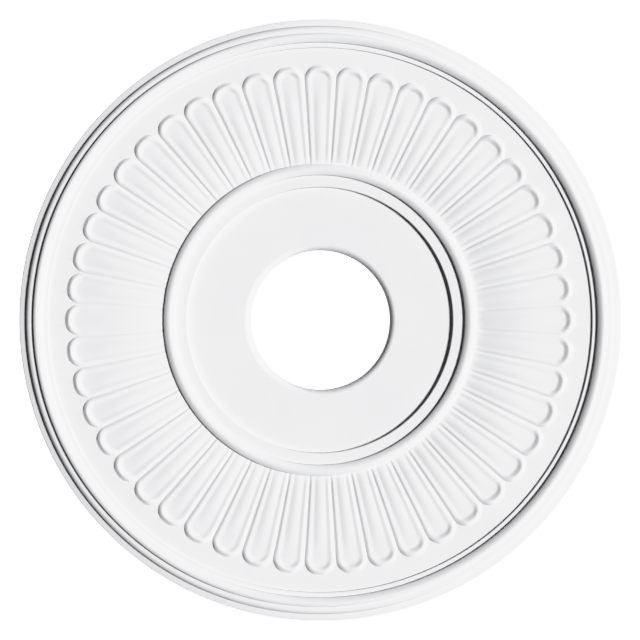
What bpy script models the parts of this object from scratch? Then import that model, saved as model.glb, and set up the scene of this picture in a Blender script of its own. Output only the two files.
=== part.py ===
"""Ceiling rose: one moulded disc that hangs flat against a ceiling, with its carved face down.

All lengths are metres. The origin is the centre of the flat back, where the rose meets the
ceiling, and +Z points up into the ceiling, so the whole body lies below z = 0. A "drop" is how
far a point of the face lies below the ceiling.

The face, from the rim to the middle: a sloping ledge, a quarter-round (ovolo), a tread, a
half-round (torus) with a steep foot on each side, a tread, a step down to the plain field, a
ring of raised tongues with round outer ends, a bead, a tread, a sunk seat for the canopy of
the lamp, and the hole for its wires.
"""

import math

import bmesh
import bpy

# The whole disc
OUTER_DIAMETER = 0.400
EDGE_CHAMFER = 0.0004
RISER_DRAFT = 0.15  # run of a steep face for each unit of its height, so that it leaves the mould

# The hole and the canopy's seat
HOLE_DIAMETER = 0.093
HOLE_ROUND = 0.0040
SEAT_DIAMETER = 0.1765
SEAT_THICKNESS = 0.0080
SEAT_STEP = 0.0024

# The bead round the seat
BEAD_TREAD_WIDTH = 0.0076
BEAD_WIDTH = 0.0078
BEAD_INNER_RISER = 0.0017
BEAD_OUTER_RISER = 0.0011
BEAD_CROWN = 0.00125
BEAD_CROWN_SHARE = 0.5  # of its width, from the inner side to its highest ring

# The ring of tongues
TONGUE_COUNT = 48
BAND_RISE = 0.0020  # from the tongues' inner ends up to the ring's crown
BAND_LEAN = 0.6  # below 1, most of that rise lies near the bead
BAND_CROWN_RADIUS = 0.139
BAND_FALL = 0.0003  # from the crown out to the round ends
TIP_RISE = 0.0009  # of a tongue's rim at its tip, above the fallen band
TONGUE_END_RISE = 0.00155  # of a rim's tip above the field
GROOVE_DEPTH = 0.0005  # of the groove between two tongues, below their rims
GROOVE_RUNOUT = 0.010
QUIRK_DEPTH = 0.0002  # of the hollow inside a rim, below the rim
MIDDLE_RISE = 0.0001  # of a tongue's middle above its rim
END_SCOOP = 0.00025  # of the hollow floor near the round end, below the band
RIM_SHARE = 0.24  # of a tongue's half width, from its edge in to the top of its rim
END_RIM_SHARE = 0.30
QUIRK_SHARE = 0.55
END_QUIRK_SHARE = 0.67
END_SHARE_POWER = 4  # the higher, the nearer the tip the end shares take over

# The plain field and the mouldings round it, from the field out to the rim
FIELD_WIDTH = 0.0108
FIELD_STEP = 0.0013
INNER_TREAD_WIDTH = 0.0031
TORUS_WIDTH = 0.0063
TORUS_INNER_RISER = 0.0014
TORUS_OUTER_RISER = 0.00135
TORUS_INNER_CROWN = 0.0015  # of its highest ring above its inner shoulder
TORUS_OUTER_CROWN = 0.0006
TORUS_CROWN_SHARE = 0.66
OUTER_TREAD_WIDTH = 0.0022
OVOLO_WIDTH = 0.0030
OVOLO_RISE = 0.0023
LEDGE_WIDTH = 0.0045
LEDGE_FALL = 0.00055

# How finely the curves are cut into flat faces
SIDES_PER_TONGUE = 2
ROUND_STEPS = 3
FLANK_STEPS = 2
TONGUE_SIDE_STEPS = 3
TONGUE_END_STEPS = 4

WELD_DISTANCE = 0.00001

# Radii, from the rim in to the tongues' round ends
rim_radius = OUTER_DIAMETER / 2
ledge_inner_radius = rim_radius - LEDGE_WIDTH
ovolo_inner_radius = ledge_inner_radius - OVOLO_WIDTH
torus_outer_radius = ovolo_inner_radius - OUTER_TREAD_WIDTH
torus_inner_radius = torus_outer_radius - TORUS_WIDTH
step_radius = torus_inner_radius - INNER_TREAD_WIDTH
field_outer_radius = step_radius - RISER_DRAFT * FIELD_STEP
tongue_end_radius = field_outer_radius - FIELD_WIDTH

# Radii, from the hole out to the tongues' inner ends
hole_radius = HOLE_DIAMETER / 2
seat_radius = SEAT_DIAMETER / 2
seat_wall_radius = seat_radius + RISER_DRAFT * SEAT_STEP
bead_inner_radius = seat_wall_radius + BEAD_TREAD_WIDTH
band_inner_radius = bead_inner_radius + BEAD_WIDTH
bead_outer_shoulder_radius = band_inner_radius - RISER_DRAFT * BEAD_OUTER_RISER

# Drops, from the seat out to the rim
bead_tread_drop = SEAT_THICKNESS + SEAT_STEP
bead_shoulder_drop = bead_tread_drop + BEAD_INNER_RISER
band_inner_drop = bead_shoulder_drop - BEAD_OUTER_RISER
tip_drop = band_inner_drop + BAND_RISE - BAND_FALL + TIP_RISE
field_drop = tip_drop - TONGUE_END_RISE
inner_tread_drop = field_drop + FIELD_STEP
torus_inner_shoulder_drop = inner_tread_drop + TORUS_INNER_RISER
torus_outer_shoulder_drop = torus_inner_shoulder_drop + TORUS_INNER_CROWN - TORUS_OUTER_CROWN
outer_tread_drop = torus_outer_shoulder_drop - TORUS_OUTER_RISER
ledge_inner_drop = outer_tread_drop - OVOLO_RISE
ledge_outer_drop = ledge_inner_drop - LEDGE_FALL

# A tongue in plan: straight sides on the rays half a pitch each way, and an arc that touches both
half_pitch = math.pi / TONGUE_COUNT
end_centre = tongue_end_radius / (1 + math.sin(half_pitch))
end_radius = end_centre * math.sin(half_pitch)
end_start_angle = math.pi / 2 + half_pitch
side_end_radius = end_centre * math.cos(half_pitch)
tip_radius = end_centre + end_radius * (1 - END_RIM_SHARE)


def smooth_share(value, start, end):
    """0 before start, 1 after end, and an S-curve between them."""
    share = (value - start) / (end - start)
    share = min(max(share, 0.0), 1.0)
    return (1 - math.cos(math.pi * share)) / 2


def crown_points(inner_shoulder, outer_shoulder, crown_share):
    """A low rounded moulding from shoulder to shoulder: two parabolas that meet at its crown.

    A shoulder is its radius, its drop and the height of the crown above it.
    """
    inner_radius, inner_drop, inner_crown = inner_shoulder
    outer_radius, outer_drop, outer_crown = outer_shoulder
    crown_radius = inner_radius + (outer_radius - inner_radius) * crown_share
    points = []
    for step in range(FLANK_STEPS):
        share = step / FLANK_STEPS
        radius = inner_radius + (crown_radius - inner_radius) * share
        points.append((radius, inner_drop + inner_crown * (1 - (1 - share) ** 2)))
    for step in range(FLANK_STEPS + 1):
        share = step / FLANK_STEPS
        radius = crown_radius + (outer_radius - crown_radius) * share
        points.append((radius, outer_drop + outer_crown * (1 - share ** 2)))
    return points


def torus_points():
    """The half-round between the two treads, without its steep feet."""
    inner_radius = torus_inner_radius + RISER_DRAFT * TORUS_INNER_RISER
    outer_radius = torus_outer_radius - RISER_DRAFT * TORUS_OUTER_RISER
    return crown_points(
        (inner_radius, torus_inner_shoulder_drop, TORUS_INNER_CROWN),
        (outer_radius, torus_outer_shoulder_drop, TORUS_OUTER_CROWN),
        TORUS_CROWN_SHARE,
    )


def bead_points():
    """The bead round the seat, without its steep feet."""
    inner_radius = bead_inner_radius + RISER_DRAFT * BEAD_INNER_RISER
    return crown_points(
        (inner_radius, bead_shoulder_drop, BEAD_CROWN),
        (bead_outer_shoulder_radius, bead_shoulder_drop, BEAD_CROWN),
        BEAD_CROWN_SHARE,
    )


def ovolo_points():
    """The quarter-round, from its foot on the ledge to its top at the outer tread."""
    points = []
    for step in range(ROUND_STEPS + 1):
        angle = math.pi / 2 * step / ROUND_STEPS
        radius = ledge_inner_radius - OVOLO_WIDTH * (1 - math.cos(angle))
        points.append((radius, ledge_inner_drop + OVOLO_RISE * math.sin(angle)))
    return points


def hole_round_points():
    """The rounded edge of the hole, from its wall to the seat."""
    points = []
    for step in range(ROUND_STEPS + 1):
        angle = math.pi / 2 * step / ROUND_STEPS
        radius = hole_radius + HOLE_ROUND * (1 - math.cos(angle))
        points.append((radius, SEAT_THICKNESS - HOLE_ROUND * (1 - math.sin(angle))))
    return points


def turned_profile():
    """(radius, drop) from the field's edge out over the rim, the back and the hole to the bead."""
    profile = [(field_outer_radius, field_drop), (step_radius, inner_tread_drop)]
    profile.append((torus_inner_radius, inner_tread_drop))
    profile.extend(torus_points())
    profile.append((torus_outer_radius, outer_tread_drop))
    profile.extend(reversed(ovolo_points()))
    profile.append((rim_radius - EDGE_CHAMFER, ledge_outer_drop))
    profile.append((rim_radius, ledge_outer_drop - EDGE_CHAMFER))
    profile.append((rim_radius, 0.0))
    profile.append((hole_radius, 0.0))
    profile.extend(hole_round_points())
    profile.append((seat_radius, SEAT_THICKNESS))
    profile.append((seat_wall_radius, bead_tread_drop))
    profile.append((bead_inner_radius, bead_tread_drop))
    profile.extend(bead_points())
    return profile


def band_drop(radius):
    """Drop of the ring of tongues as a whole: up from the bead to its crown, then a little down."""
    climb = (radius - band_inner_radius) / (BAND_CROWN_RADIUS - band_inner_radius)
    climbed = smooth_share(max(climb, 0.0) ** BAND_LEAN, 0.0, 1.0)
    fallen = smooth_share(radius, BAND_CROWN_RADIUS, tip_radius)
    return band_inner_drop + BAND_RISE * climbed - BAND_FALL * fallen


def rim_drop(radius):
    """Drop of a tongue's rim, which follows the band and rises round the tip."""
    return band_drop(radius) + TIP_RISE * smooth_share(radius, side_end_radius, tip_radius)


def groove_drop(radius):
    """Drop of the groove between two tongues, which runs out into the field."""
    runout = smooth_share(radius, side_end_radius - GROOVE_RUNOUT, side_end_radius)
    groove = band_drop(radius) - GROOVE_DEPTH
    return groove + (field_drop - groove) * runout


def scoop_share(radius):
    """How much of the round end's hollow a tongue has at this radius."""
    return smooth_share(radius, BAND_CROWN_RADIUS, end_centre + end_radius * (1 - END_QUIRK_SHARE))


def quirk_drop(radius):
    return band_drop(radius) - QUIRK_DEPTH - (END_SCOOP - QUIRK_DEPTH) * scoop_share(radius)


def middle_drop(radius):
    return band_drop(radius) + MIDDLE_RISE - (END_SCOOP + MIDDLE_RISE) * scoop_share(radius)


def tongue_line(inset_share, end_inset_share):
    """Half of one U-shaped line on a tongue that points along +X, as (x, y).

    It runs from the bead out along the side at +Y and round the end to the tongue's axis. The
    shares say how far in it lies, of the tongue's half width, at the side and at the tip.
    """
    line_angle = half_pitch * (1 - inset_share)
    side_start = (band_inner_radius * math.cos(line_angle), band_inner_radius * math.sin(line_angle))
    arc = []
    for step in range(TONGUE_END_STEPS + 1):
        share = step / TONGUE_END_STEPS
        angle = end_start_angle * (1 - share)
        inset = inset_share + (end_inset_share - inset_share) * math.sin(math.pi / 2 * share) ** END_SHARE_POWER
        radius = end_radius * (1 - inset)
        arc.append((end_centre + radius * math.cos(angle), radius * math.sin(angle)))
    side = []
    for step in range(TONGUE_SIDE_STEPS):
        share = step / TONGUE_SIDE_STEPS
        x = side_start[0] + (arc[0][0] - side_start[0]) * share
        y = side_start[1] + (arc[0][1] - side_start[1]) * share
        side.append((x, y))
    return side + arc


def tongue_lines():
    """The foot, rim, quirk and middle of half a tongue, each a list of (x, y, drop)."""
    foot = []
    for number, (x, y) in enumerate(tongue_line(0.0, 0.0)):
        on_side = number < TONGUE_SIDE_STEPS
        foot.append((x, y, groove_drop(math.hypot(x, y)) if on_side else field_drop))
    rim = [(x, y, rim_drop(math.hypot(x, y))) for x, y in tongue_line(RIM_SHARE, END_RIM_SHARE)]
    quirk = [(x, y, quirk_drop(math.hypot(x, y))) for x, y in tongue_line(QUIRK_SHARE, END_QUIRK_SHARE)]
    middle = [(x, y, middle_drop(x)) for x, y in tongue_line(1.0, 1.0)]
    return foot, rim, quirk, middle


def half_tongue_faces():
    """The faces of half a pitch, from the bead's shoulder to the edge of the field."""
    foot, rim, quirk, middle = tongue_lines()
    faces = []
    for outer, inner in ((foot, rim), (rim, quirk), (quirk, middle)):
        for number in range(len(outer) - 1):
            corners = [outer[number], outer[number + 1], inner[number + 1], inner[number]]
            if math.dist(corners[2], corners[3]) < WELD_DISTANCE:
                corners.pop()
            if math.dist(corners[0], corners[1]) > WELD_DISTANCE:
                faces.append(corners)

    field_side = field_point(half_pitch)
    field_axis = field_point(0.0)
    arc = foot[TONGUE_SIDE_STEPS:]
    turn = len(arc) // 2
    for number in range(len(arc) - 1):
        field_corner = field_side if number < turn else field_axis
        faces.append([arc[number], field_corner, arc[number + 1]])
    faces.append([field_side, field_axis, arc[turn]])

    bead_side = bead_point(half_pitch)
    bead_axis = bead_point(0.0)
    ends = [foot[0], rim[0], quirk[0], middle[0]]
    faces.append([bead_side, ends[0], ends[1]])
    faces.append([bead_side, ends[1], bead_axis])
    faces.append([bead_axis, ends[1], ends[2]])
    faces.append([bead_axis, ends[2], ends[3]])
    return faces


def field_point(angle):
    return (field_outer_radius * math.cos(angle), field_outer_radius * math.sin(angle), field_drop)


def bead_point(angle):
    radius = bead_outer_shoulder_radius
    return (radius * math.cos(angle), radius * math.sin(angle), bead_shoulder_drop)


def add_turned_body(mesh):
    """Spins the profile once round Z, which leaves the ring of tongues open."""
    verts = [mesh.verts.new((radius, 0.0, -drop)) for radius, drop in turned_profile()]
    edges = [mesh.edges.new(pair) for pair in zip(verts, verts[1:])]
    bmesh.ops.spin(
        mesh,
        geom=verts + edges,
        cent=(0.0, 0.0, 0.0),
        axis=(0.0, 0.0, 1.0),
        angle=2 * math.pi,
        steps=TONGUE_COUNT * SIDES_PER_TONGUE,
        use_merge=True,
    )


def add_tongues(mesh):
    """Lays the half tongue and its mirror image down once for each pitch."""
    faces = half_tongue_faces()
    for tongue in range(TONGUE_COUNT):
        turn = 2 * half_pitch * tongue
        cosine = math.cos(turn)
        sine = math.sin(turn)
        for mirror in (1, -1):
            for corners in faces:
                placed = []
                for x, y, drop in corners:
                    y = y * mirror
                    placed.append(mesh.verts.new((x * cosine - y * sine, x * sine + y * cosine, -drop)))
                mesh.faces.new(placed)


def moulded_foam():
    """Hard polyurethane foam under a white primer, as the rose leaves its mould."""
    material = bpy.data.materials.new("primed_polyurethane_foam")
    material.use_nodes = True
    shader = material.node_tree.nodes["Principled BSDF"]
    shader.inputs["Base Color"].default_value = (0.86, 0.86, 0.85, 1.0)
    shader.inputs["Roughness"].default_value = 0.55
    shader.inputs["Metallic"].default_value = 0.0
    return material


def build_ceiling_rose():
    shape = bmesh.new()
    add_turned_body(shape)
    add_tongues(shape)
    bmesh.ops.remove_doubles(shape, verts=shape.verts, dist=WELD_DISTANCE)
    bmesh.ops.triangulate(shape, faces=shape.faces)
    bmesh.ops.recalc_face_normals(shape, faces=shape.faces)
    mesh = bpy.data.meshes.new("ceiling_rose")
    shape.to_mesh(mesh)
    shape.free()
    mesh.shade_smooth()
    mesh.set_sharp_from_angle(angle=math.radians(30))
    mesh.materials.append(moulded_foam())
    rose = bpy.data.objects.new("ceiling_rose", mesh)
    bpy.context.collection.objects.link(rose)
    return rose


for old in list(bpy.data.objects):
    bpy.data.objects.remove(old, do_unlink=True)
build_ceiling_rose()
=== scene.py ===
import math

import bmesh
import bpy
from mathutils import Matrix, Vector


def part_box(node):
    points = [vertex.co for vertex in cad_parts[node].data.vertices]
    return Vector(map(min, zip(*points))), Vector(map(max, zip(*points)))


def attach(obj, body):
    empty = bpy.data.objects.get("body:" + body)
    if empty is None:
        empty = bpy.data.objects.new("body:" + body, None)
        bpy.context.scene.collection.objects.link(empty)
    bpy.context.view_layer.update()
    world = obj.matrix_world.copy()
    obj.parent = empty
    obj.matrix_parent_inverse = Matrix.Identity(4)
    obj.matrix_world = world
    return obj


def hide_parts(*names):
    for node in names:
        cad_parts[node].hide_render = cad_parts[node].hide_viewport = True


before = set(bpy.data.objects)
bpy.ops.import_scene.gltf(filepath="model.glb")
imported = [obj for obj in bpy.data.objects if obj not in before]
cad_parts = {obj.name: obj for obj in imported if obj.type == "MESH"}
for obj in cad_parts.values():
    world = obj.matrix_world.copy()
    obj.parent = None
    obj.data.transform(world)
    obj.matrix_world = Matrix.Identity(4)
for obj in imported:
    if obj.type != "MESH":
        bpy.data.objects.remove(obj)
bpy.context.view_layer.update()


# The rose itself
# One disc of hard polyurethane foam, cast in a closed mould with all its ornament and sprayed
# with a white primer. It is glued and screwed to the ceiling, face down, so its back is bare.

MM = 0.001

# A steep side leans outwards by this share of its height, so that the mould lets go of it.
RISER_DRAFT = 0.15

HOLE_RADIUS = 46.5 * MM
HOLE_ROUND = 4.0 * MM
SEAT_RADIUS = 88.25 * MM
SEAT_THICKNESS = 8.0 * MM
SEAT_STEP = 2.4 * MM

BEAD_TREAD_WIDTH = 7.6 * MM
BEAD_WIDTH = 7.8 * MM
BEAD_INNER_RISER = 1.7 * MM
BEAD_OUTER_RISER = 1.1 * MM
BEAD_CROWN = 1.25 * MM
BEAD_CROWN_SHARE = 0.5

TONGUE_COUNT = 48
BAND_RISE = 2.0 * MM
BAND_LEAN = 0.6
BAND_CROWN_RADIUS = 139.0 * MM
BAND_FALL = 0.3 * MM
TIP_RISE = 0.9 * MM
TONGUE_END_RISE = 1.55 * MM
GROOVE_DEPTH = 0.5 * MM
GROOVE_RUNOUT = 10.0 * MM
RELIEF_RUNIN = 4.0 * MM
QUIRK_DEPTH = 0.2 * MM
MIDDLE_RISE = 0.1 * MM
END_SCOOP = 0.25 * MM

# How far in from its foot each line of a tongue lies, as a share of the tongue's half width.
RIM_SHARE = 0.24
END_RIM_SHARE = 0.30
QUIRK_SHARE = 0.55
END_QUIRK_SHARE = 0.67

# The higher this is, the nearer the tip the shares of the round end take over.
END_SHARE_POWER = 4

# The foot of the rim is steeper round the two shoulders of the end. That grows from this share
# of the tongue's side to where the end starts, and fades from this share of the way to the tip.
FOOT_STEEPNESS = 0.7
SIDE_STEEP_FROM = 0.8
END_STEEP_TO = 0.5

FIELD_WIDTH = 10.8 * MM
FIELD_RING_SHARE = 0.25
FIELD_STEP = 1.3 * MM
INNER_TREAD_WIDTH = 3.1 * MM
TORUS_WIDTH = 6.3 * MM
TORUS_INNER_RISER = 1.4 * MM
TORUS_OUTER_RISER = 1.35 * MM
TORUS_INNER_CROWN = 1.5 * MM
TORUS_OUTER_CROWN = 0.6 * MM
TORUS_CROWN_SHARE = 0.66
OUTER_TREAD_WIDTH = 2.2 * MM
OVOLO_WIDTH = 3.0 * MM
OVOLO_RISE = 2.3 * MM
LEDGE_WIDTH = 4.5 * MM
LEDGE_FALL = 0.55 * MM
EDGE_CHAMFER = 0.4 * MM

# The paint fills the inner corners and softens the arrises of the mould, wherever the surface
# turns by more than the angle here, and takes no more than this share of the side next to it.
PAINTED_CORNER = 0.30 * MM
CORNER_STEPS = 3
CORNER_TURN = math.radians(30)
CORNER_REACH = 0.4

SIDES_PER_TONGUE = 6
ROUND_STEPS = 8
FLANK_STEPS = 6
SIDE_STEPS = 18
END_STEPS = 12
RIM_STEPS = 6
QUIRK_STEPS = 5
MIDDLE_STEPS = 5
WELD_DISTANCE = 0.002 * MM
SHARP_ANGLE = math.radians(40)

# The mesh's two materials: primer on the face and the sides, bare foam on the back.
FACE_SLOT = 0
BACK_SLOT = 1

rim_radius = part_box("ceiling_rose")[1][0]
ledge_inner_radius = rim_radius - LEDGE_WIDTH
torus_outer_radius = ledge_inner_radius - OVOLO_WIDTH - OUTER_TREAD_WIDTH
torus_inner_radius = torus_outer_radius - TORUS_WIDTH
step_radius = torus_inner_radius - INNER_TREAD_WIDTH
field_outer_radius = step_radius - RISER_DRAFT * FIELD_STEP
tongue_end_radius = field_outer_radius - FIELD_WIDTH
field_ring_radius = field_outer_radius - FIELD_WIDTH * FIELD_RING_SHARE

seat_wall_radius = SEAT_RADIUS + RISER_DRAFT * SEAT_STEP
bead_inner_radius = seat_wall_radius + BEAD_TREAD_WIDTH
band_inner_radius = bead_inner_radius + BEAD_WIDTH

# A drop is how far a place on the face lies below the ceiling.
bead_tread_drop = SEAT_THICKNESS + SEAT_STEP
bead_shoulder_drop = bead_tread_drop + BEAD_INNER_RISER
band_inner_drop = bead_shoulder_drop - BEAD_OUTER_RISER
tip_drop = band_inner_drop + BAND_RISE - BAND_FALL + TIP_RISE
field_drop = tip_drop - TONGUE_END_RISE
inner_tread_drop = field_drop + FIELD_STEP
torus_crown_drop = inner_tread_drop + TORUS_INNER_RISER + TORUS_INNER_CROWN
outer_tread_drop = torus_crown_drop - TORUS_OUTER_CROWN - TORUS_OUTER_RISER
ledge_inner_drop = outer_tread_drop - OVOLO_RISE
ledge_outer_drop = ledge_inner_drop - LEDGE_FALL

# A tongue's two sides run along spokes, and its round end touches both.
half_pitch = math.pi / TONGUE_COUNT
end_centre = tongue_end_radius / (1 + math.sin(half_pitch))
end_radius = end_centre * math.sin(half_pitch)
end_start_angle = math.pi / 2 + half_pitch
side_end_radius = end_centre * math.cos(half_pitch)
tip_radius = end_centre + end_radius * (1 - END_RIM_SHARE)
scoop_radius = end_centre + end_radius * (1 - END_QUIRK_SHARE)


def smooth_share(value, start, end):
    """How far a value has come from start to end, from 0 to 1, level at both."""
    share = min(max((value - start) / (end - start), 0.0), 1.0)
    return (1 - math.cos(math.pi * share)) / 2


def crown_points(inner_shoulder, outer_shoulder, crown_share):
    """A low rounded moulding, from its inner shoulder to its outer one, as (radius, drop).

    Each shoulder is its radius, its drop and the height of the crown above it.
    """
    inner_radius, inner_drop, inner_crown = inner_shoulder
    outer_radius, outer_drop, outer_crown = outer_shoulder
    crown_radius = inner_radius + (outer_radius - inner_radius) * crown_share
    points = []
    for step in range(FLANK_STEPS):
        share = step / FLANK_STEPS
        radius = inner_radius + (crown_radius - inner_radius) * share
        points.append((radius, inner_drop + inner_crown * (1 - (1 - share) ** 2)))
    for step in range(FLANK_STEPS + 1):
        share = step / FLANK_STEPS
        radius = crown_radius + (outer_radius - crown_radius) * share
        points.append((radius, outer_drop + outer_crown * (1 - share ** 2)))
    return points


def quarter_points(start_radius, start_drop, width, rise):
    """A quarter-round that starts upright and ends level, as (radius, drop)."""
    points = []
    for step in range(ROUND_STEPS + 1):
        angle = math.pi / 2 * step / ROUND_STEPS
        radius = start_radius + width * (1 - math.cos(angle))
        points.append((radius, start_drop + rise * math.sin(angle)))
    return points


def turned_profile():
    """(radius, drop) from the field out over the rim, the back and the hole to the bead's foot."""
    profile = [(field_ring_radius, field_drop), (field_outer_radius, field_drop)]
    profile += [(step_radius, inner_tread_drop), (torus_inner_radius, inner_tread_drop)]
    torus_inner_shoulder = torus_inner_radius + RISER_DRAFT * TORUS_INNER_RISER
    torus_outer_shoulder = torus_outer_radius - RISER_DRAFT * TORUS_OUTER_RISER
    profile += crown_points(
        (torus_inner_shoulder, torus_crown_drop - TORUS_INNER_CROWN, TORUS_INNER_CROWN),
        (torus_outer_shoulder, torus_crown_drop - TORUS_OUTER_CROWN, TORUS_OUTER_CROWN),
        TORUS_CROWN_SHARE,
    )
    profile.append((torus_outer_radius, outer_tread_drop))
    ovolo = quarter_points(ledge_inner_radius, ledge_inner_drop, -OVOLO_WIDTH, OVOLO_RISE)
    profile += reversed(ovolo)
    profile.append((rim_radius - EDGE_CHAMFER, ledge_outer_drop))
    profile.append((rim_radius, ledge_outer_drop - EDGE_CHAMFER))
    profile += [(rim_radius, 0.0), (HOLE_RADIUS, 0.0)]
    profile += quarter_points(HOLE_RADIUS, SEAT_THICKNESS - HOLE_ROUND, HOLE_ROUND, HOLE_ROUND)
    profile += [(SEAT_RADIUS, SEAT_THICKNESS), (seat_wall_radius, bead_tread_drop)]
    profile.append((bead_inner_radius, bead_tread_drop))
    profile += crown_points(
        (bead_inner_radius + RISER_DRAFT * BEAD_INNER_RISER, bead_shoulder_drop, BEAD_CROWN),
        (band_inner_radius - RISER_DRAFT * BEAD_OUTER_RISER, bead_shoulder_drop, BEAD_CROWN),
        BEAD_CROWN_SHARE,
    )
    # The bead's outer side only starts here. The strip to the tongues' foot is the rest of it.
    last_radius, last_drop = profile[-1]
    profile.append((last_radius + RISER_DRAFT * PAINTED_CORNER, last_drop - PAINTED_CORNER))
    return profile


def painted(profile):
    """The same profile with each crisp corner eased by a small arc."""
    eased = [profile[0]]
    for before, corner, after in zip(profile, profile[1:], profile[2:]):
        here = Vector(corner)
        back = Vector(before) - here
        ahead = Vector(after) - here
        turn = math.pi - back.angle(ahead)
        if turn < CORNER_TURN:
            eased.append(corner)
            continue
        reach = min(PAINTED_CORNER, back.length * CORNER_REACH, ahead.length * CORNER_REACH)
        start = here + back.normalized() * reach
        end = here + ahead.normalized() * reach
        for step in range(CORNER_STEPS + 1):
            share = step / CORNER_STEPS
            point = start * (1 - share) ** 2 + here * 2 * share * (1 - share) + end * share ** 2
            eased.append(tuple(point))
    eased.append(profile[-1])
    return eased


def band_drop(radius):
    """The ring of tongues as a whole: it climbs from the bead to a crown, then falls a little."""
    climb_width = BAND_CROWN_RADIUS - band_inner_radius
    climb = max(min(radius, BAND_CROWN_RADIUS) - band_inner_radius, 0.0) / climb_width
    rise = BAND_RISE * smooth_share(climb ** BAND_LEAN, 0, 1)
    fall = BAND_FALL * smooth_share(radius, BAND_CROWN_RADIUS, tip_radius)
    return band_inner_drop + rise - fall


def rim_drop(radius):
    """The crest of a tongue's rim, which gains height over the round end."""
    return band_drop(radius) + TIP_RISE * smooth_share(radius, side_end_radius, tip_radius)


def relief_share(radius):
    """The tongues start level at the bead's foot and gain their relief a little way out."""
    return smooth_share(radius, band_inner_radius, band_inner_radius + RELIEF_RUNIN)


def groove_drop(radius):
    """The groove between two tongues, which sinks to the field where their round ends part."""
    runout = smooth_share(radius, side_end_radius - GROOVE_RUNOUT, side_end_radius)
    groove = band_drop(radius) - GROOVE_DEPTH * relief_share(radius)
    return groove + (field_drop - groove) * runout


def scoop_share(radius):
    """How far the scoop of the round end has taken over from the hollow and the middle."""
    return smooth_share(radius, BAND_CROWN_RADIUS, scoop_radius)


def quirk_drop(radius):
    """The hollow that runs round inside a tongue's rim."""
    hollow = QUIRK_DEPTH * relief_share(radius)
    return band_drop(radius) - hollow - (END_SCOOP - QUIRK_DEPTH) * scoop_share(radius)


def middle_drop(radius):
    """The low convex middle of a tongue, along its axis."""
    middle = MIDDLE_RISE * relief_share(radius)
    return band_drop(radius) + middle - (END_SCOOP + MIDDLE_RISE) * scoop_share(radius)


def tongue_line(inset_share, end_inset_share):
    """Half of a U-shaped line on a tongue along +X, from the bead to the tip.

    It is a list of (x, y, steepness). The steepness is how far the foot of the rim is steepened
    there: not at all on most of the side and at the tip, and fully round the shoulder between.
    """
    line_angle = half_pitch * (1 - inset_share)
    start_x = band_inner_radius * math.cos(line_angle)
    start_y = band_inner_radius * math.sin(line_angle)
    arc = []
    for step in range(END_STEPS + 1):
        share = step / END_STEPS
        angle = end_start_angle * (1 - share)
        end_share = math.sin(math.pi / 2 * share) ** END_SHARE_POWER
        inset = inset_share + (end_inset_share - inset_share) * end_share
        radius = end_radius * (1 - inset)
        steepness = smooth_share(-share, -1.0, -END_STEEP_TO)
        arc.append((end_centre + radius * math.cos(angle), radius * math.sin(angle), steepness))
    arc_x, arc_y, _ = arc[0]
    side = []
    for step in range(SIDE_STEPS):
        share = step / SIDE_STEPS
        x = start_x + (arc_x - start_x) * share
        y = start_y + (arc_y - start_y) * share
        side.append((x, y, smooth_share(share, SIDE_STEEP_FROM, 1.0)))
    return side + arc


def tongue_section(share_steps, outer, inner, outer_drops, inner_drops, curve):
    """Lines between two key lines: places go straight across, drops follow the curve."""
    lines = []
    for step in range(share_steps):
        across = step / share_steps
        line = []
        for start, end, start_drop, end_drop in zip(outer, inner, outer_drops, inner_drops):
            x = start[0] + (end[0] - start[0]) * across
            y = start[1] + (end[1] - start[1]) * across
            drop = start_drop + (end_drop - start_drop) * curve(across, start[2])
            line.append((x, y, drop))
        lines.append(line)
    return lines


def rim_curve(across, steepness):
    """A soft slope up from the foot to the crest, or one that is steep at its foot."""
    slope = smooth_share(across, 0, 1)
    steep = math.sqrt(1 - (1 - across) ** 2)
    return slope + (steep - slope) * FOOT_STEEPNESS * steepness


def quirk_curve(across, _steepness):
    """A soft slope from the crest down into the hollow."""
    return smooth_share(across, 0, 1)


def middle_curve(across, _steepness):
    """It leaves the hollow at an angle and is level in the middle of the tongue."""
    return math.sin(math.pi / 2 * across)


def tongue_lines():
    """All the lines of half a tongue, from its foot in to its middle, as lists of (x, y, drop)."""
    foot = tongue_line(0.0, 0.0)
    rim = tongue_line(RIM_SHARE, END_RIM_SHARE)
    quirk = tongue_line(QUIRK_SHARE, END_QUIRK_SHARE)
    middle = tongue_line(1.0, 1.0)
    foot_drops = [groove_drop(math.hypot(x, y)) for x, y, _ in foot[:SIDE_STEPS]]
    foot_drops += [field_drop] * (END_STEPS + 1)
    rim_drops = [rim_drop(math.hypot(x, y)) for x, y, _ in rim]
    quirk_drops = [quirk_drop(math.hypot(x, y)) for x, y, _ in quirk]
    middle_drops = [middle_drop(x) for x, y, _ in middle]
    lines = tongue_section(RIM_STEPS, foot, rim, foot_drops, rim_drops, rim_curve)
    lines += tongue_section(QUIRK_STEPS, rim, quirk, rim_drops, quirk_drops, quirk_curve)
    lines += tongue_section(MIDDLE_STEPS, quirk, middle, quirk_drops, middle_drops, middle_curve)
    lines.append([(x, y, drop) for (x, y, _), drop in zip(middle, middle_drops)])
    return lines


def sewn(first, second):
    """Triangles between two rows of points, each walked at its own pace."""
    faces = []
    first_sides = len(first) - 1
    second_sides = len(second) - 1
    a = 0
    b = 0
    while a < first_sides or b < second_sides:
        if (a + 1) / first_sides <= (b + 1) / second_sides:
            faces.append([first[a], first[a + 1], second[b]])
            a += 1
        else:
            faces.append([first[a], second[b + 1], second[b]])
            b += 1
    return faces


def ring_points(radius, drop):
    """The points of a turned ring across half a pitch, from the groove to the tongue's axis."""
    points = []
    sides = SIDES_PER_TONGUE // 2
    for step in range(sides + 1):
        angle = half_pitch * (1 - step / sides)
        points.append((radius * math.cos(angle), radius * math.sin(angle), drop))
    return points


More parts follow.
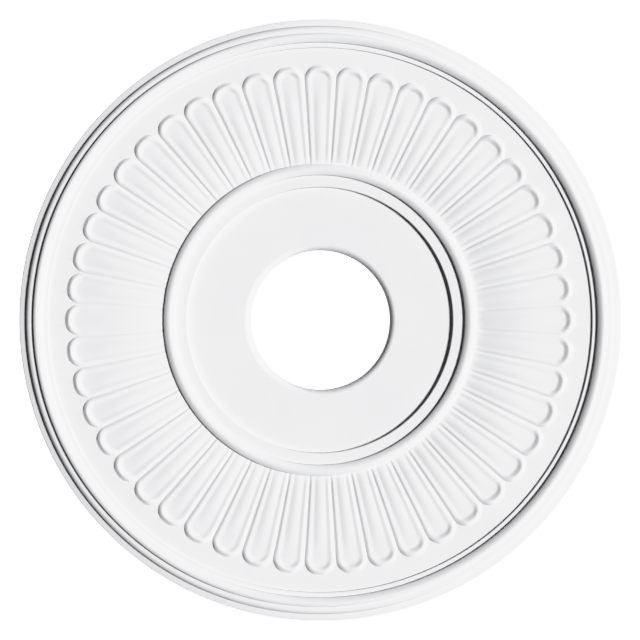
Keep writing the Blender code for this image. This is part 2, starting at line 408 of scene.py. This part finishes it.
def half_tongue_faces(profile):
    """Half a tongue, with the strips that join it to the turned field and to the bead."""
    lines = tongue_lines()
    faces = []
    for outer, inner in zip(lines, lines[1:]):
        for number in range(len(outer) - 1):
            corners = [outer[number], outer[number + 1], inner[number + 1], inner[number]]
            if math.dist(corners[2], corners[3]) < WELD_DISTANCE:
                corners.pop()
            faces.append(corners)
    foot_arc = lines[0][SIDE_STEPS:]
    bead_row = [line[0] for line in lines]
    faces += sewn(ring_points(*profile[0]), foot_arc)
    faces += sewn(ring_points(*profile[-1]), bead_row)
    return faces


def rose_mesh():
    """The turned profile spun once round, with each tongue's two mirrored halves welded in."""
    profile = painted(turned_profile())
    shape = bmesh.new()
    verts = [shape.verts.new((radius, 0.0, -drop)) for radius, drop in profile]
    edges = [shape.edges.new(pair) for pair in zip(verts, verts[1:])]
    bmesh.ops.spin(
        shape,
        geom=verts + edges,
        cent=(0.0, 0.0, 0.0),
        axis=(0.0, 0.0, 1.0),
        angle=2 * math.pi,
        steps=TONGUE_COUNT * SIDES_PER_TONGUE,
        use_merge=True,
    )
    faces = half_tongue_faces(profile)
    for tongue in range(TONGUE_COUNT):
        cosine = math.cos(2 * half_pitch * tongue)
        sine = math.sin(2 * half_pitch * tongue)
        for mirror in (1, -1):
            for corners in faces:
                placed = []
                for x, half_y, drop in corners:
                    y = half_y * mirror
                    place = (x * cosine - y * sine, x * sine + y * cosine, -drop)
                    placed.append(shape.verts.new(place))
                shape.faces.new(placed)
    bmesh.ops.remove_doubles(shape, verts=shape.verts, dist=WELD_DISTANCE)
    bmesh.ops.recalc_face_normals(shape, faces=shape.faces)
    for face in shape.faces:
        on_back = all(vert.co.z == 0 for vert in face.verts)
        face.material_index = BACK_SLOT if on_back else FACE_SLOT
    mesh = bpy.data.meshes.new("rose_casting")
    shape.to_mesh(mesh)
    shape.free()
    return mesh


def linear_colour(code):
    """An sRGB hex colour as the linear colour that a shader takes."""
    channels = []
    for start in (1, 3, 5):
        value = int(code[start:start + 2], 16) / 255
        channels.append(value / 12.92 if value <= 0.04045 else ((value + 0.055) / 1.055) ** 2.4)
    return (*channels, 1.0)


def add_node(tree, kind, settings=None, values=None, links=None):
    """Adds a node, sets its settings and socket values, and links outputs into its sockets."""
    node = tree.nodes.new(kind)
    for name, value in (settings or {}).items():
        setattr(node, name, value)
    for socket, value in (values or {}).items():
        node.inputs[socket].default_value = value
    for socket, output in (links or {}).items():
        tree.links.new(output, node.inputs[socket])
    return node


rose_mesh_data = rose_mesh()
rose_mesh_data.shade_smooth()
rose_mesh_data.set_sharp_from_angle(angle=SHARP_ANGLE)
rose = bpy.data.objects.new("rose_casting", rose_mesh_data)
bpy.context.collection.objects.link(rose)
flats = rose.modifiers.new("level_flats", "WEIGHTED_NORMAL")
flats.keep_sharp = True

# The colour sockets of a mix node, which share their names with its other sockets.
MIX_SHARE = 0
MIX_FIRST = 6
MIX_SECOND = 7
MIX_RESULT = 2

# White acrylic primer, sprayed: matt and even. Its fine peel only breaks up the sheen, and the
# thickness of the coat changes the tone a little over some 40 mm. Most of a noise pattern's
# values lie between the two ends of its range.
PRIMER_THIN = "#E4E4E5"
PRIMER_FULL = "#ECECEE"
PRIMER_IOR = 1.48
COAT_PATCH = 40 * MM
SHEEN_PATCH = 7 * MM
SHEEN_NOISE_RANGE = (0.3, 0.7)
SHEEN_ROUGHNESS = (0.52, 0.68)
PEEL_SIZE = 1.2 * MM
PEEL_HEIGHT = 0.006 * MM

primer = bpy.data.materials.new("sprayed_white_primer")
primer.use_nodes = True
coat = primer.node_tree
place = add_node(coat, "ShaderNodeTexCoord").outputs["Object"]
patches = add_node(
    coat,
    "ShaderNodeTexNoise",
    values={"Scale": 1 / COAT_PATCH, "Detail": 3.0},
    links={"Vector": place},
)
tone = add_node(
    coat,
    "ShaderNodeMix",
    settings={"data_type": "RGBA"},
    values={MIX_FIRST: linear_colour(PRIMER_THIN), MIX_SECOND: linear_colour(PRIMER_FULL)},
    links={MIX_SHARE: patches.outputs["Fac"]},
)
sheen_patches = add_node(
    coat,
    "ShaderNodeTexNoise",
    values={"Scale": 1 / SHEEN_PATCH, "Detail": 2.0},
    links={"Vector": place},
)
sheen = add_node(
    coat,
    "ShaderNodeMapRange",
    values={
        "From Min": SHEEN_NOISE_RANGE[0],
        "From Max": SHEEN_NOISE_RANGE[1],
        "To Min": SHEEN_ROUGHNESS[0],
        "To Max": SHEEN_ROUGHNESS[1],
    },
    links={"Value": sheen_patches.outputs["Fac"]},
)
peel = add_node(
    coat,
    "ShaderNodeTexNoise",
    values={"Scale": 1 / PEEL_SIZE, "Detail": 2.0},
    links={"Vector": place},
)
peel_bump = add_node(
    coat,
    "ShaderNodeBump",
    values={"Strength": 1.0, "Distance": PEEL_HEIGHT},
    links={"Height": peel.outputs["Fac"]},
)
coat_shader = coat.nodes["Principled BSDF"]
coat_shader.inputs["IOR"].default_value = PRIMER_IOR
coat.links.new(tone.outputs[MIX_RESULT], coat_shader.inputs["Base Color"])
coat.links.new(sheen.outputs[0], coat_shader.inputs["Roughness"])
coat.links.new(peel_bump.outputs[0], coat_shader.inputs["Normal"])
rose_mesh_data.materials.append(primer)

# Hard polyurethane foam, sanded flat where the mould was filled: cream, with cut cells, straight
# sanding marks and a few open bubbles, whose hollows are bumped and darkened with painted shade.
# White overspray fades in from the rim and from the hole.
# Cells of 0.4 mm and marks 0.3 mm apart are drawn coarser, so that they show.
FOAM_PALE = "#F0EADB"
FOAM_DEEP = "#E0D7C1"
# Painted shade: the colour that the hollows of the cells and the bubbles are darkened towards.
FOAM_PIT_SHADE = "#A89C7E"
FOAM_ROUGHNESS = 0.85
FOAM_SPECULAR = 0.3
CELL_SIZE = 1.1 * MM
CELL_DEPTH = 0.10 * MM
MARK_SPACING = 0.9 * MM
MARK_LENGTH = 45 * MM
MARK_NOISE_RANGE = (0.35, 0.65)
MARK_DEPTH_SHARE = 0.25
BUBBLE_SPACING = 16 * MM
BUBBLE_RADIUS = 0.8 * MM
BUBBLE_FLOOR_SHARE = 0.7
SPRAY_REACH = 16 * MM
HOLE_SPRAY_REACH = 9 * MM
SPRAY_STRENGTH = 2.0

# A cut cell is a cup: this low in its middle, in its bump and in its painted shade alike, rising
# to its wall between these shares of its size.
CELL_MIDDLE_DEPTH_AND_SHADE = 0.45
CELL_CUP_RANGE = (0.1, 0.5)

bare_foam = bpy.data.materials.new("sanded_bare_foam")
bare_foam.use_nodes = True
foam = bare_foam.node_tree
place = add_node(foam, "ShaderNodeTexCoord").outputs["Object"]
along_marks = add_node(
    foam,
    "ShaderNodeMapping",
    values={"Scale": (1 / MARK_LENGTH, 1 / MARK_SPACING, 1 / MARK_SPACING)},
    links={"Vector": place},
)
marks = add_node(
    foam,
    "ShaderNodeTexNoise",
    values={"Scale": 1.0, "Detail": 4.0, "Roughness": 0.65},
    links={"Vector": along_marks.outputs[0]},
)
mark_tone = add_node(
    foam,
    "ShaderNodeMapRange",
    values={"From Min": MARK_NOISE_RANGE[0], "From Max": MARK_NOISE_RANGE[1]},
    links={"Value": marks.outputs["Fac"]},
)
sanded = add_node(
    foam,
    "ShaderNodeMix",
    settings={"data_type": "RGBA"},
    values={MIX_FIRST: linear_colour(FOAM_DEEP), MIX_SECOND: linear_colour(FOAM_PALE)},
    links={MIX_SHARE: mark_tone.outputs[0]},
)
cells = add_node(
    foam,
    "ShaderNodeTexVoronoi",
    values={"Scale": 1 / CELL_SIZE},
    links={"Vector": place},
)
cell_cup = add_node(
    foam,
    "ShaderNodeMapRange",
    values={
        "From Min": CELL_CUP_RANGE[0],
        "From Max": CELL_CUP_RANGE[1],
        "To Min": CELL_MIDDLE_DEPTH_AND_SHADE,
        "To Max": 1.0,
    },
    links={"Value": cells.outputs["Distance"]},
)
bubbles = add_node(
    foam,
    "ShaderNodeTexVoronoi",
    values={"Scale": 1 / BUBBLE_SPACING},
    links={"Vector": place},
)
bubble_rim = add_node(
    foam,
    "ShaderNodeMapRange",
    values={
        "From Min": BUBBLE_FLOOR_SHARE * BUBBLE_RADIUS / BUBBLE_SPACING,
        "From Max": BUBBLE_RADIUS / BUBBLE_SPACING,
    },
    links={"Value": bubbles.outputs["Distance"]},
)
# How high the foam stands in its cells' cups and its bubbles. This bumps the foam and also darkens
# its hollows as painted shade.
surface = add_node(
    foam,
    "ShaderNodeMath",
    settings={"operation": "MULTIPLY"},
    links={0: cell_cup.outputs[0], 1: bubble_rim.outputs[0]},
)
# Painted shade: the cups of the cells and the open bubbles are darkened towards the pit shade
# colour.
pits_painted_shade = add_node(
    foam,
    "ShaderNodeMix",
    settings={"data_type": "RGBA"},
    values={MIX_FIRST: linear_colour(FOAM_PIT_SHADE)},
    links={MIX_SHARE: surface.outputs[0], MIX_SECOND: sanded.outputs[MIX_RESULT]},
)
from_axis = add_node(
    foam,
    "ShaderNodeVectorMath",
    settings={"operation": "LENGTH"},
    links={0: place},
)
rim_spray = add_node(
    foam,
    "ShaderNodeMapRange",
    settings={"interpolation_type": "SMOOTHSTEP"},
    values={"From Min": rim_radius - SPRAY_REACH, "From Max": rim_radius},
    links={"Value": from_axis.outputs["Value"]},
)
hole_spray = add_node(
    foam,
    "ShaderNodeMapRange",
    settings={"interpolation_type": "SMOOTHSTEP"},
    values={"From Min": HOLE_RADIUS + HOLE_SPRAY_REACH, "From Max": HOLE_RADIUS},
    links={"Value": from_axis.outputs["Value"]},
)
spray = add_node(
    foam,
    "ShaderNodeMath",
    settings={"operation": "MAXIMUM"},
    links={0: rim_spray.outputs[0], 1: hole_spray.outputs[0]},
)
drift = add_node(
    foam,
    "ShaderNodeTexNoise",
    values={"Scale": 1 / COAT_PATCH, "Detail": 5.0},
    links={"Vector": place},
)
cover = add_node(
    foam,
    "ShaderNodeMath",
    settings={"operation": "MULTIPLY", "use_clamp": True},
    values={1: SPRAY_STRENGTH},
    links={0: drift.outputs["Fac"]},
)
spray_share = add_node(
    foam,
    "ShaderNodeMath",
    settings={"operation": "MULTIPLY"},
    links={0: spray.outputs[0], 1: cover.outputs[0]},
)
oversprayed = add_node(
    foam,
    "ShaderNodeMix",
    settings={"data_type": "RGBA"},
    values={MIX_SECOND: linear_colour(PRIMER_FULL)},
    links={MIX_SHARE: spray_share.outputs[0], MIX_FIRST: pits_painted_shade.outputs[MIX_RESULT]},
)
mark_depth = add_node(
    foam,
    "ShaderNodeMath",
    settings={"operation": "MULTIPLY_ADD"},
    values={1: MARK_DEPTH_SHARE},
    links={0: marks.outputs["Fac"], 2: surface.outputs[0]},
)
foam_bump = add_node(
    foam,
    "ShaderNodeBump",
    values={"Strength": 1.0, "Distance": CELL_DEPTH},
    links={"Height": mark_depth.outputs[0]},
)
foam_shader = foam.nodes["Principled BSDF"]
foam_shader.inputs["Roughness"].default_value = FOAM_ROUGHNESS
foam_shader.inputs["Specular IOR Level"].default_value = FOAM_SPECULAR
foam.links.new(oversprayed.outputs[MIX_RESULT], foam_shader.inputs["Base Color"])
foam.links.new(foam_bump.outputs[0], foam_shader.inputs["Normal"])
rose_mesh_data.materials.append(bare_foam)

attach(rose, "root")
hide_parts("ceiling_rose")


# The room
# A pale floor far below, one soft key light from the picture's right, low light from below so
# that the face keeps its shadows, and softer light from above for the back and the rim. The
# backdrop has the floor's tone at the horizon and is pure white overhead, behind the face.

FLOOR_DROP = 2.4
FLOOR_SIDE = 400.0
FLOOR_PAINT = "#E4E4E3"
FLOOR_ROUGHNESS = 0.9
KEY_ANGLE = math.radians(47)
KEY_SPREAD = math.radians(12)
KEY_STRENGTH = 4.7
TOP_DIRECTION = (0.45, 0.55, -1.0)
TOP_SPREAD = math.radians(25)
TOP_STRENGTH = 1.9
BACK_DIRECTION = (0.6, -0.55, -0.45)
BACK_SPREAD = math.radians(40)
BACK_STRENGTH = 0.8

# The light of the sky and the tone of the backdrop grow from the horizon up to these heights,
# where a height is the upward part of a direction.
SKY_PAINT = "#FFFFFF"
FILL_STRENGTH = 0.01
SKY_STRENGTH = 0.42
SKY_FULL_HEIGHT = 0.4
HORIZON_STRENGTH = 0.793
BACKGROUND_STRENGTH = 2.0
BACKGROUND_FULL_HEIGHT = 0.5

half_side = FLOOR_SIDE / 2
floor_corners = []
for x, y in ((-1, -1), (1, -1), (1, 1), (-1, 1)):
    floor_corners.append((x * half_side, y * half_side, 0))
floor_mesh = bpy.data.meshes.new("floor")
floor_mesh.from_pydata(floor_corners, [], [(0, 1, 2, 3)])
floor = bpy.data.objects.new("floor", floor_mesh)
floor.location.z = -FLOOR_DROP
floor.visible_shadow = False
floor.visible_diffuse = False
bpy.context.collection.objects.link(floor)
floor_paint = bpy.data.materials.new("pale_floor_paint")
floor_paint.use_nodes = True
floor_shader = floor_paint.node_tree.nodes["Principled BSDF"]
floor_shader.inputs["Base Color"].default_value = linear_colour(FLOOR_PAINT)
floor_shader.inputs["Roughness"].default_value = FLOOR_ROUGHNESS
floor_shader.inputs["Specular IOR Level"].default_value = 0.0
floor_mesh.materials.append(floor_paint)


def add_sun(name, towards, strength, spread):
    """A distant light that shines in the direction given."""
    light = bpy.data.lights.new(name, "SUN")
    light.energy = strength
    light.angle = spread
    sun = bpy.data.objects.new(name, light)
    sun.rotation_mode = "QUATERNION"
    sun.rotation_quaternion = Vector(towards).to_track_quat("-Z", "Y")
    bpy.context.collection.objects.link(sun)


add_sun("key", (-math.sin(KEY_ANGLE), 0.0, math.cos(KEY_ANGLE)), KEY_STRENGTH, KEY_SPREAD)
add_sun("top_light", TOP_DIRECTION, TOP_STRENGTH, TOP_SPREAD)
add_sun("back_light", BACK_DIRECTION, BACK_STRENGTH, BACK_SPREAD)

world = bpy.data.worlds.new("studio")
world.use_nodes = True
bpy.context.scene.world = world
sky = world.node_tree
sky.nodes.clear()
rays = add_node(sky, "ShaderNodeLightPath")
direction = add_node(sky, "ShaderNodeTexCoord")
split = add_node(sky, "ShaderNodeSeparateXYZ", links={0: direction.outputs["Generated"]})
lit_strength = add_node(
    sky,
    "ShaderNodeMapRange",
    values={
        "From Min": 0.0,
        "From Max": SKY_FULL_HEIGHT,
        "To Min": FILL_STRENGTH,
        "To Max": SKY_STRENGTH,
    },
    links={"Value": split.outputs["Z"]},
)
seen_strength = add_node(
    sky,
    "ShaderNodeMapRange",
    settings={"interpolation_type": "SMOOTHSTEP"},
    values={
        "From Min": 0.0,
        "From Max": BACKGROUND_FULL_HEIGHT,
        "To Min": HORIZON_STRENGTH,
        "To Max": BACKGROUND_STRENGTH,
    },
    links={"Value": split.outputs["Z"]},
)
seen = add_node(sky, "ShaderNodeBackground", links={"Strength": seen_strength.outputs[0]})
lit = add_node(sky, "ShaderNodeBackground", links={"Strength": lit_strength.outputs[0]})
for background in (seen, lit):
    background.inputs["Color"].default_value = linear_colour(SKY_PAINT)
chosen = add_node(
    sky,
    "ShaderNodeMixShader",
    links={0: rays.outputs["Is Camera Ray"], 1: lit.outputs[0], 2: seen.outputs[0]},
)
add_node(sky, "ShaderNodeOutputWorld", links={"Surface": chosen.outputs[0]})


# The camera
# It looks straight up at the face, as the picture does, with the picture's right towards +X.

CAMERA_DISTANCE = 1.4
SENSOR_WIDTH_MM = 36.0
IMAGE_SIDE = 640
OUTLINE_RADIUS_PX = 300.9

rim_distance = CAMERA_DISTANCE - ledge_outer_drop
half_view = rim_radius / rim_distance * (IMAGE_SIDE / 2) / OUTLINE_RADIUS_PX
camera_data = bpy.data.cameras.new("camera")
camera_data.sensor_width = SENSOR_WIDTH_MM
camera_data.lens = SENSOR_WIDTH_MM / 2 / half_view
camera = bpy.data.objects.new("camera", camera_data)
camera.location = (0.0, 0.0, -CAMERA_DISTANCE)
camera.rotation_euler = (math.pi, 0.0, 0.0)
bpy.context.collection.objects.link(camera)
bpy.context.scene.camera = camera

# The film, as (light, light shown): deep lines go nearly black, and lit slopes level off just
# short of the background's white.
COMBINED_CURVE = 3
FILM_RESPONSE = (
    (0.0, 0.0), (0.10, 0.055), (0.30, 0.27), (0.86, 0.86), (0.95, 0.90),
    (1.10, 0.92), (1.35, 0.94), (1.75, 0.95), (BACKGROUND_STRENGTH, 1.0),
)

film = bpy.context.scene.view_settings
film.view_transform = "Standard"
film.look = "None"
film.use_curve_mapping = True
film.curve_mapping.clip_max_x = BACKGROUND_STRENGTH
film.curve_mapping.clip_max_y = 1.0

# The curve's own last point goes to its new place first, because new points are put in order.
response = film.curve_mapping.curves[COMBINED_CURVE].points
response[-1].location = FILM_RESPONSE[-1]
for light, shown in FILM_RESPONSE[1:-1]:
    response.new(light, shown)
for point in response:
    point.handle_type = "VECTOR"
film.curve_mapping.update()
